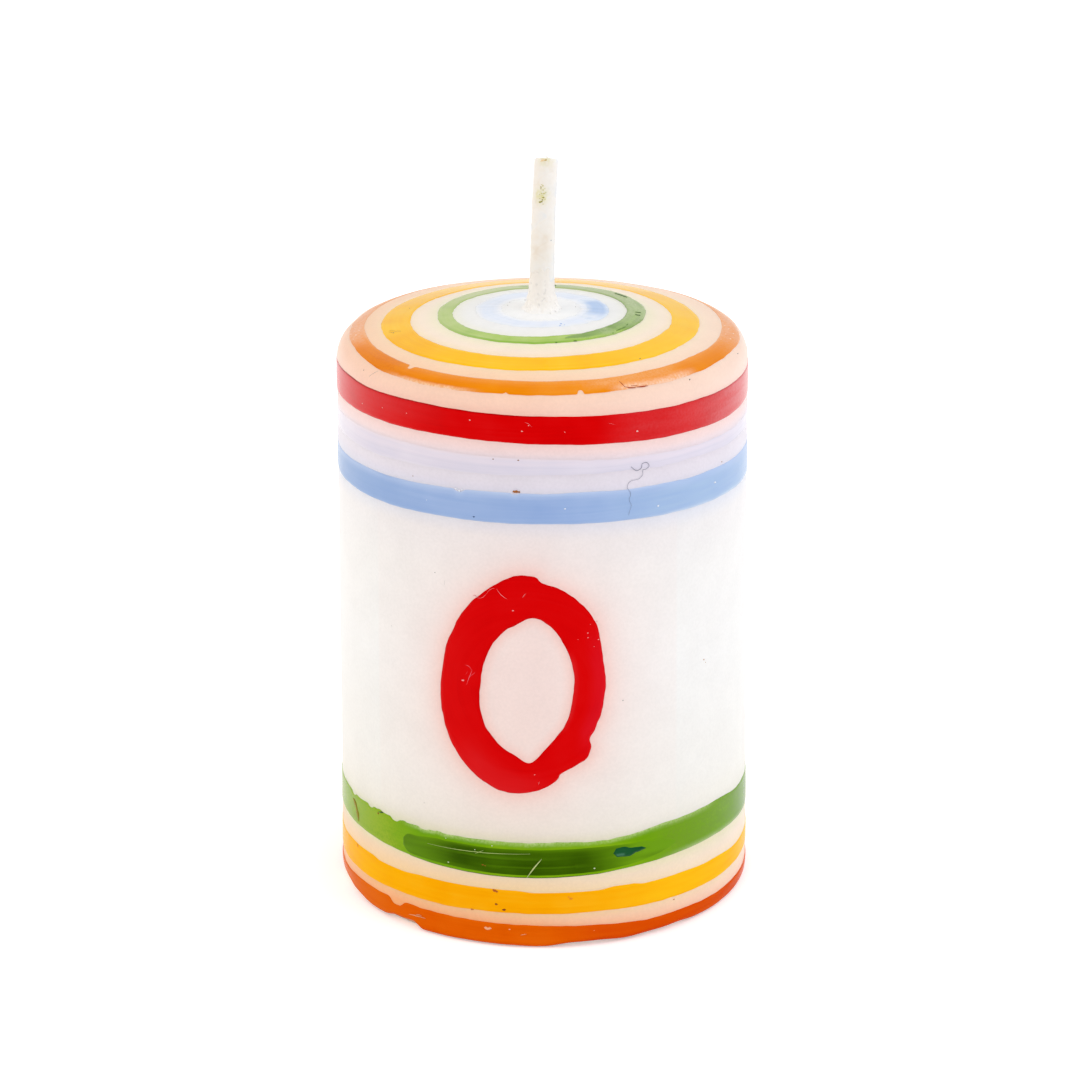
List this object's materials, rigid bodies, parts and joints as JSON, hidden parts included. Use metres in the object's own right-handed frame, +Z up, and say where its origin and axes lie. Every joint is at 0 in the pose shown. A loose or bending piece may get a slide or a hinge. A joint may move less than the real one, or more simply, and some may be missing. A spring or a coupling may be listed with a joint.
{
  "type": "candle",
  "caption": "Small round white wax candle with brushed coloured bands and rings, a red numeral on the front and a plaited cotton wick",
  "frame": {"origin": "centre of the flat base, on the wick's axis", "axes": "+Z up the wick, -Y out through the painted numeral, +X to the right seen from the numeral"},
  "size_m": [0.036, 0.036, 0.064],
  "materials": {
    "white_wax": "satin poured wax, slightly translucent",
    "sealing_wax": "satin clear-white wax drawn up by the hot wick",
    "pale_blue_wax": "thin brushed wash of coloured wax",
    "blue_wax": "brushed coloured wax, satin gloss",
    "green_wax": "brushed coloured wax, satin gloss",
    "dark_green_wax": "second brushed coat, satin gloss",
    "yellow_wax": "brushed coloured wax, satin gloss",
    "orange_wax": "brushed coloured wax, satin gloss",
    "red_wax": "brushed coloured wax, satin gloss",
    "waxed_cotton": "plaited cotton primed with wax",
    "tinned_steel": "pressed tinned sheet"
  },
  "bodies": {
    "root": {"wax_body": "white_wax", "wick_ply_1": "waxed_cotton", "wick_ply_2": "waxed_cotton", "wick_ply_3": "waxed_cotton", "wick_seal": "sealing_wax", "wick_tab": "tinned_steel", "top_blue_ring": "pale_blue_wax", "top_blue_dab": "blue_wax", "top_green_ring": "green_wax", "top_green_second_coat": "green_wax", "top_yellow_ring": "yellow_wax", "shoulder_orange_ring": "orange_wax", "red_band": "red_wax", "pale_blue_band": "pale_blue_wax", "blue_band": "blue_wax", "numeral_zero": "red_wax", "green_band": "green_wax", "green_second_coat": "dark_green_wax", "yellow_band": "yellow_wax", "orange_foot": "orange_wax"}
  },
  "joints": []
}
